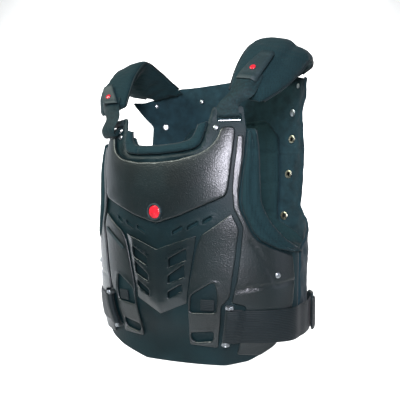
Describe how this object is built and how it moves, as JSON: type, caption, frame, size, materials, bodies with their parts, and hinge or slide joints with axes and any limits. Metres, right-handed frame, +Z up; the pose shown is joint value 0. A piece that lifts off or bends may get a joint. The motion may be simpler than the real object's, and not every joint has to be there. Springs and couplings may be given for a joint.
{
  "type": "motorcycle body protector",
  "caption": "Sleeveless body protector with hard chest and back plates on padding, shoulder straps and a waist belt",
  "frame": {"origin": "middle of the torso, on the wearer's shoulders, under the two shoulder pads", "axes": "+X to the wearer's left, +Y to the wearer's back, +Z up"},
  "size_m": [0.4048, 0.2805, 0.5384],
  "materials": {
    "plate": "grained satin black",
    "textile": "black padded cloth",
    "webbing": "black woven webbing",
    "rubber": "matte black",
    "steel": "plain",
    "brass": "aged",
    "red": "glossy red"
  },
  "bodies": {
    "root": {"front_shell": "plate", "chest_plate": "plate", "grille_panel": "plate", "badge_ring": "rubber", "badge": "red", "label_plate": "rubber", "front_pad": "textile", "neck_trim": "textile", "back_panel": "textile", "back_pad": "textile", "back_shell": "plate", "lower_plate_left": "plate", "lower_plate_right": "plate", "side_panel_left": "plate", "side_panel_right": "plate", "arm_trim_left": "textile", "arm_trim_right": "textile", "eyelet_1_left": "brass", "eyelet_1_right": "brass", "eyelet_2_left": "brass", "eyelet_2_right": "brass", "eyelet_3_left": "brass", "eyelet_3_right": "brass", "back_washer_left": "steel", "back_washer_right": "steel", "back_rivet_outer_left": "steel", "back_rivet_outer_right": "steel", "back_rivet_inner_left": "steel", "back_rivet_inner_right": "steel", "shoulder_pad_left": "textile", "shoulder_pad_right": "textile", "shoulder_strap_left": "webbing", "shoulder_strap_right": "webbing", "strap_tab_left": "rubber", "strap_tab_right": "rubber", "tab_dot_left": "red", "tab_dot_right": "red", "strap_bar_left": "steel", "strap_bar_right": "steel", "tab_rivet_left": "steel", "tab_rivet_right": "steel", "side_rivet_left": "steel", "side_rivet_right": "steel", "belt_left": "webbing", "belt_right": "webbing", "buckle_pin_left": "steel", "buckle_pin_right": "steel", "belt_end_left": "webbing", "belt_end_right": "webbing", "rear_slider_left": "rubber", "rear_slider_right": "rubber", "rear_strap_left": "webbing", "rear_strap_right": "webbing"}
  },
  "joints": []
}
